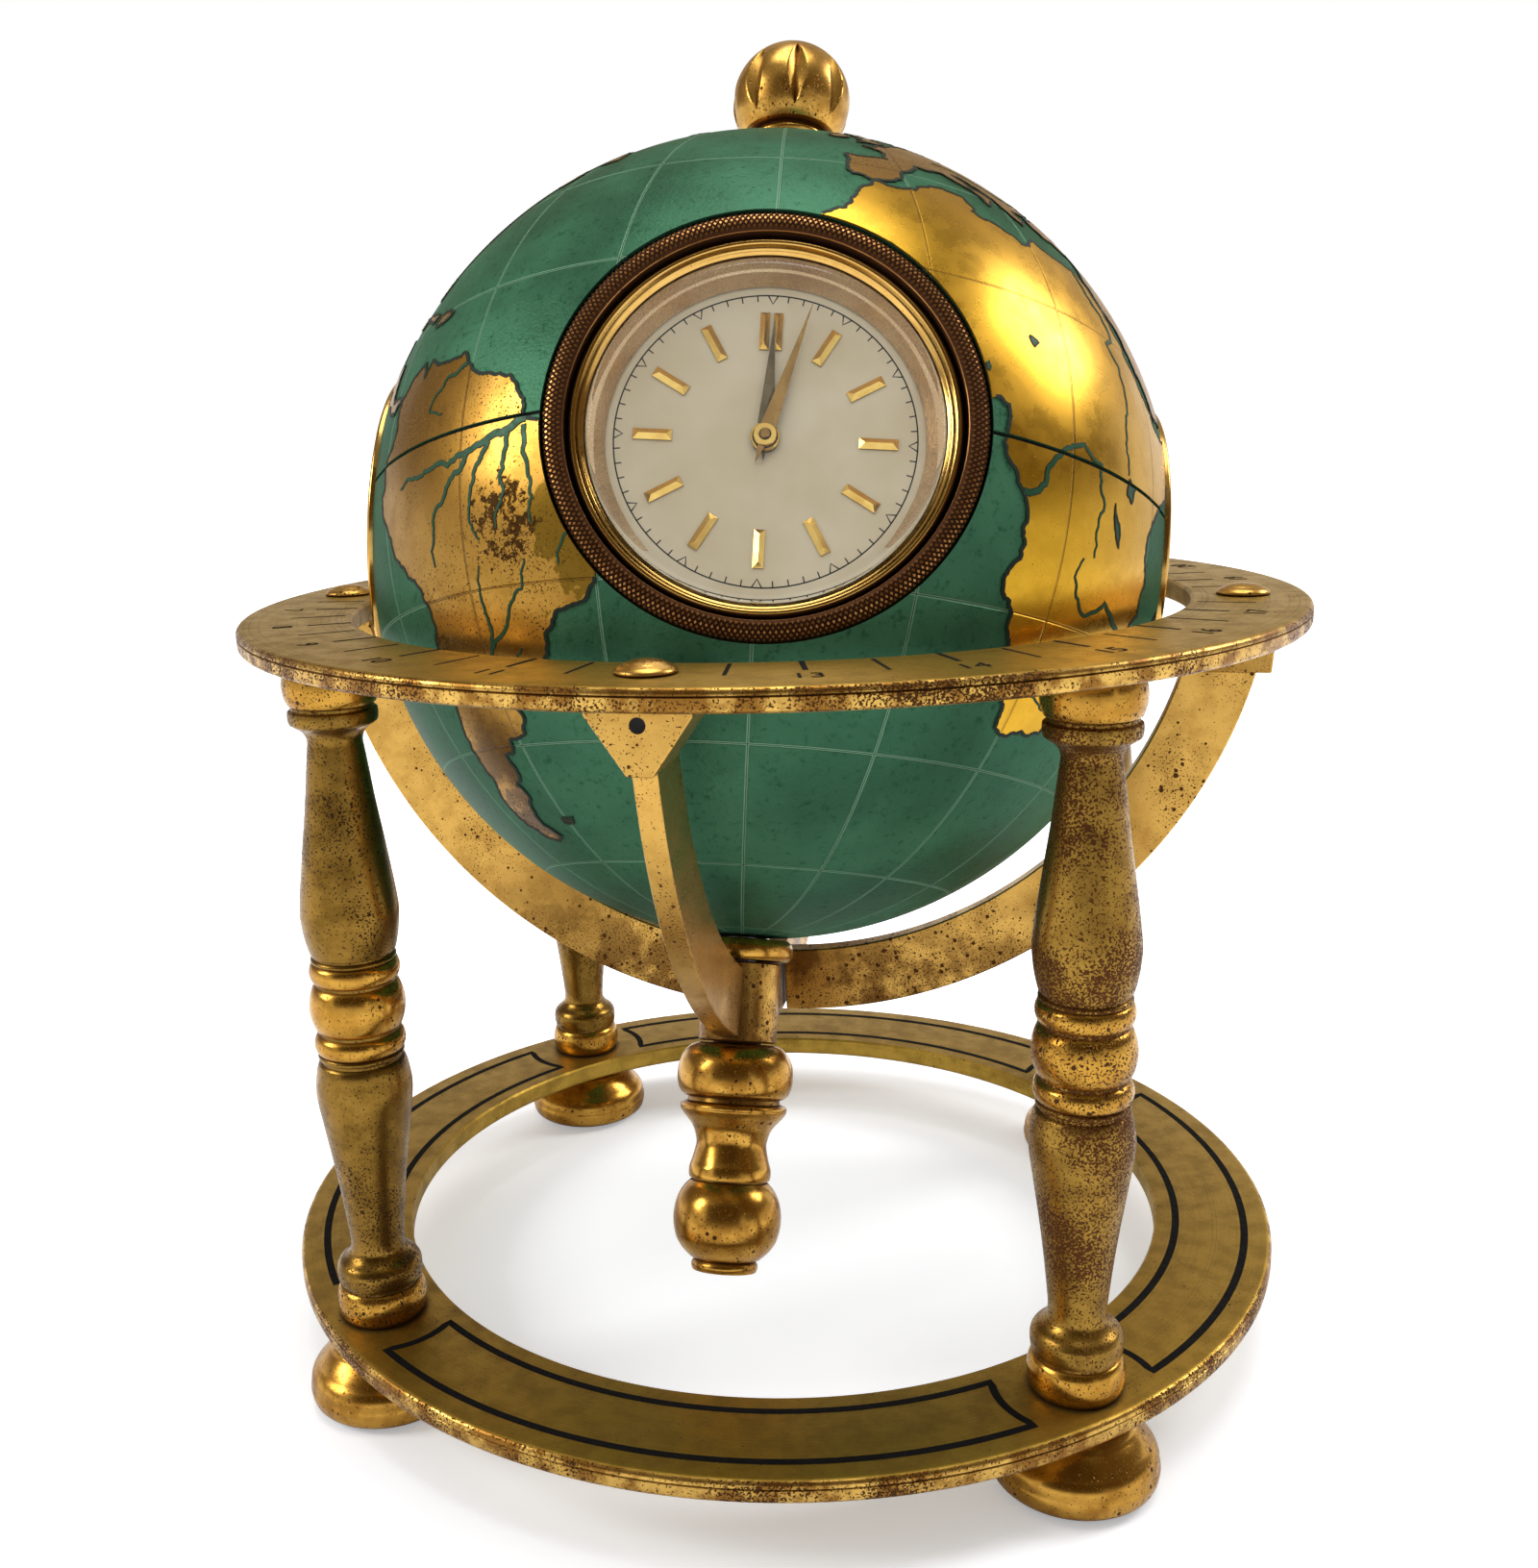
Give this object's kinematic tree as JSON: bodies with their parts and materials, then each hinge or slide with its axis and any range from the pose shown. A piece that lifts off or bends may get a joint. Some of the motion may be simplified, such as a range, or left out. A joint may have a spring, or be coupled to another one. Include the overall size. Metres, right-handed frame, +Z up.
{
  "type": "globe clock",
  "caption": "Brass desk globe with a clock in its front, turning on a tilted axis in a cradle under an hour ring on turned columns.",
  "frame": {"origin": "on the table, under the common centre of the base ring and the hour ring", "axes": "+Z up; -Y to the front, where the short cradle arm and the hour mark 12 are; +X to the right as seen from the front"},
  "size_m": [0.1726, 0.1726, 0.2148],
  "materials": {
    "aged_brass": "gilt brass, worn, with brown specks and pits",
    "polished_brass": "polished gilt brass",
    "dark_bronze": "knurled, darkened",
    "globe_enamel": "blue-green lacquer over brass, land left in bare gilt",
    "black_lacquer": "matt black",
    "steel": "plain",
    "blued_steel": "blued, polished",
    "silvered_dial": "satin silvered dial plate",
    "clear_crystal": "clear, polished"
  },
  "bodies": {
    "stand": {"base_ring": "aged_brass", "hour_ring": "aged_brass", "column_back_right": "aged_brass", "column_back_left": "aged_brass", "column_front_left": "aged_brass", "column_front_right": "aged_brass", "foot_back_right": "polished_brass", "foot_back_left": "polished_brass", "foot_front_left": "polished_brass", "foot_front_right": "polished_brass", "tie_rod_back_right": "steel", "tie_rod_back_left": "steel", "tie_rod_front_left": "steel", "tie_rod_front_right": "steel", "cap_screw_right": "polished_brass", "cap_screw_back": "polished_brass", "cap_screw_left": "polished_brass", "cap_screw_front": "polished_brass", "arm_front": "aged_brass", "arm_back": "aged_brass", "arm_right": "aged_brass", "arm_left": "aged_brass", "pivot_collar": "aged_brass", "pivot_sleeve": "aged_brass", "pendant": "polished_brass"},
    "globe": {"shell_north": "globe_enamel", "shell_south": "globe_enamel", "axis_rod": "steel", "knob_washer": "polished_brass", "knob": "polished_brass", "clock_cup": "black_lacquer", "knurled_ring": "dark_bronze", "thermometer_case": "polished_brass", "thermometer_dial": "silvered_dial", "thermometer_glass": "clear_crystal", "barometer_case": "polished_brass", "barometer_dial": "silvered_dial", "barometer_glass": "clear_crystal", "hygrometer_case": "polished_brass", "hygrometer_dial": "silvered_dial", "hygrometer_glass": "clear_crystal"},
    "clock": {"clock_case": "aged_brass", "clock_bezel": "polished_brass", "clock_crystal": "clear_crystal", "clock_dial": "silvered_dial", "plate_front": "aged_brass", "plate_back": "aged_brass", "mainspring_barrel": "polished_brass"},
    "minute_work": {"minute_hand": "polished_brass", "centre_arbor": "steel", "setting_knob": "polished_brass"},
    "hour_work": {"hour_hand": "polished_brass", "hour_wheel": "polished_brass"},
    "intermediate_work": {"minute_wheel": "polished_brass"},
    "winding_work": {"winding_key": "polished_brass"},
    "balance": {"balance_wheel": "polished_brass"},
    "thermometer_needle": {"thermometer_pointer": "blued_steel"},
    "barometer_needle": {"barometer_pointer": "blued_steel"},
    "barometer_marker": {"barometer_set_hand": "polished_brass"},
    "hygrometer_needle": {"hygrometer_pointer": "blued_steel"}
  },
  "joints": [
    {"name": "globe_spin", "type": "hinge", "parent": "stand", "child": "globe", "pos_m": [0, 0, 0.1303], "axis": [0, 0.3827, 0.9239], "continuous": true},
    {"name": "clock_pull", "type": "slide", "parent": "globe", "child": "clock", "axis": [0.1891, -0.9072, 0.3758], "range_m": [0, 0.006]},
    {"name": "minute_turn", "type": "hinge", "parent": "clock", "child": "minute_work", "pos_m": [0.00945, -0.04536, 0.14909], "axis": [-0.1891, 0.9072, -0.3758], "continuous": true},
    {"name": "hour_turn", "type": "hinge", "parent": "clock", "child": "hour_work", "pos_m": [0.00945, -0.04536, 0.14909], "axis": [-0.1891, 0.9072, -0.3758], "continuous": true},
    {"name": "intermediate_turn", "type": "hinge", "parent": "clock", "child": "intermediate_work", "pos_m": [0.00232, -0.04099, 0.15792], "axis": [-0.1891, 0.9072, -0.3758], "continuous": true},
    {"name": "winding_turn", "type": "hinge", "parent": "clock", "child": "winding_work", "pos_m": [0.00191, -0.03191, 0.13213], "axis": [0.1891, -0.9072, 0.3758], "continuous": true},
    {"name": "balance_swing", "type": "hinge", "parent": "clock", "child": "balance", "pos_m": [0.01843, -0.03093, 0.15015], "axis": [-0.1891, 0.9072, -0.3758], "range_deg": [-270, 270]},
    {"name": "thermometer_reading", "type": "hinge", "parent": "globe", "child": "thermometer_needle", "pos_m": [0.05499, 0.00978, 0.12625], "axis": [-0.982, -0.1747, 0.0724], "range_deg": [-120, 120]},
    {"name": "barometer_reading", "type": "hinge", "parent": "globe", "child": "barometer_needle", "pos_m": [-0.01059, 0.0508, 0.10926], "axis": [0.1891, -0.9072, 0.3758], "range_deg": [-150, 150]},
    {"name": "hygrometer_reading", "type": "hinge", "parent": "globe", "child": "hygrometer_needle", "pos_m": [-0.05499, -0.00978, 0.13435], "axis": [0.982, 0.1747, -0.0724], "range_deg": [-120, 120]},
    {"name": "barometer_marker_set", "type": "hinge", "parent": "globe", "child": "barometer_marker", "pos_m": [-0.01097, 0.05262, 0.10851], "axis": [0.1891, -0.9072, 0.3758], "continuous": true}
  ],
  "couplings": [
    {"joint": "hour_turn", "follows": "minute_turn", "ratio": 0.083333},
    {"joint": "intermediate_turn", "follows": "minute_turn", "ratio": -0.33333}
  ]
}
